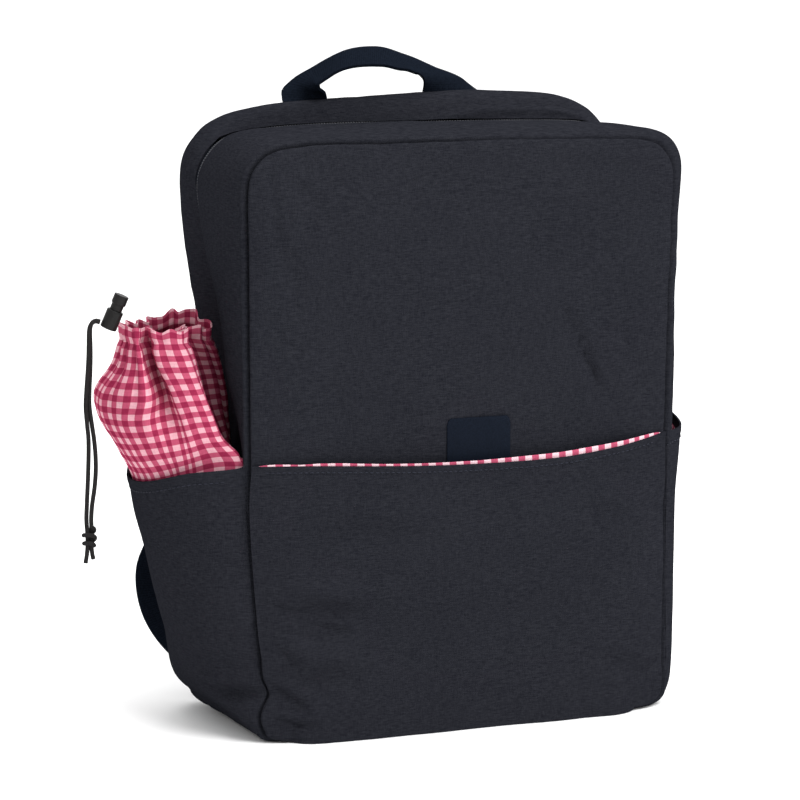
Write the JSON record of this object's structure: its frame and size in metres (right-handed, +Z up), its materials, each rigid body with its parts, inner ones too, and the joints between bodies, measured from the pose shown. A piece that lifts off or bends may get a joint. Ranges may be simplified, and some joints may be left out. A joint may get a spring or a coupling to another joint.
{
  "type": "picnic backpack",
  "caption": "Boxy dark fabric picnic backpack with a front slip pocket, flared side bottle pockets, a gathered gingham bottle collar, a top handle and shoulder straps.",
  "frame": {"origin": "middle of the base, on the surface that the bag stands on", "axes": "+Z up, -Y out of the front panel, +X to the right seen from the front"},
  "size_m": [0.4346, 0.2097, 0.455],
  "materials": {
    "canvas": "matt dark navy melange canvas",
    "webbing": "dark navy webbing",
    "gingham": "woven pink and white gingham cotton",
    "tab": "smooth dark navy",
    "cord": "braided black cord",
    "hardware": "satin black plastic"
  },
  "bodies": {
    "bag": {"front_compartment": "canvas", "main_compartment": "canvas", "zip": "webbing", "zip_slider": "hardware", "front_pocket": "canvas", "front_pocket_lining": "gingham", "closure_tab": "tab", "left_pocket": "canvas", "right_pocket": "canvas", "right_pocket_lining": "gingham", "bottle_pouch": "gingham", "cord_lock_barrel": "hardware", "drawcord_left": "cord", "drawcord_right": "cord", "drawcord_knot": "cord", "top_handle": "webbing", "shoulder_strap_left": "canvas", "shoulder_strap_right": "canvas", "strap_tail_left": "webbing", "strap_tail_right": "webbing", "strap_adjuster_left": "hardware", "strap_adjuster_right": "hardware"},
    "cord_lock_button": {"cord_lock_plunger": "hardware"}
  },
  "joints": [
    {"name": "cord_lock_press", "type": "slide", "parent": "bag", "child": "cord_lock_button", "axis": [-0.3667, 0.1429, -0.9193], "range_m": [0, 0.004], "stiffness_N_per_m": 700}
  ]
}
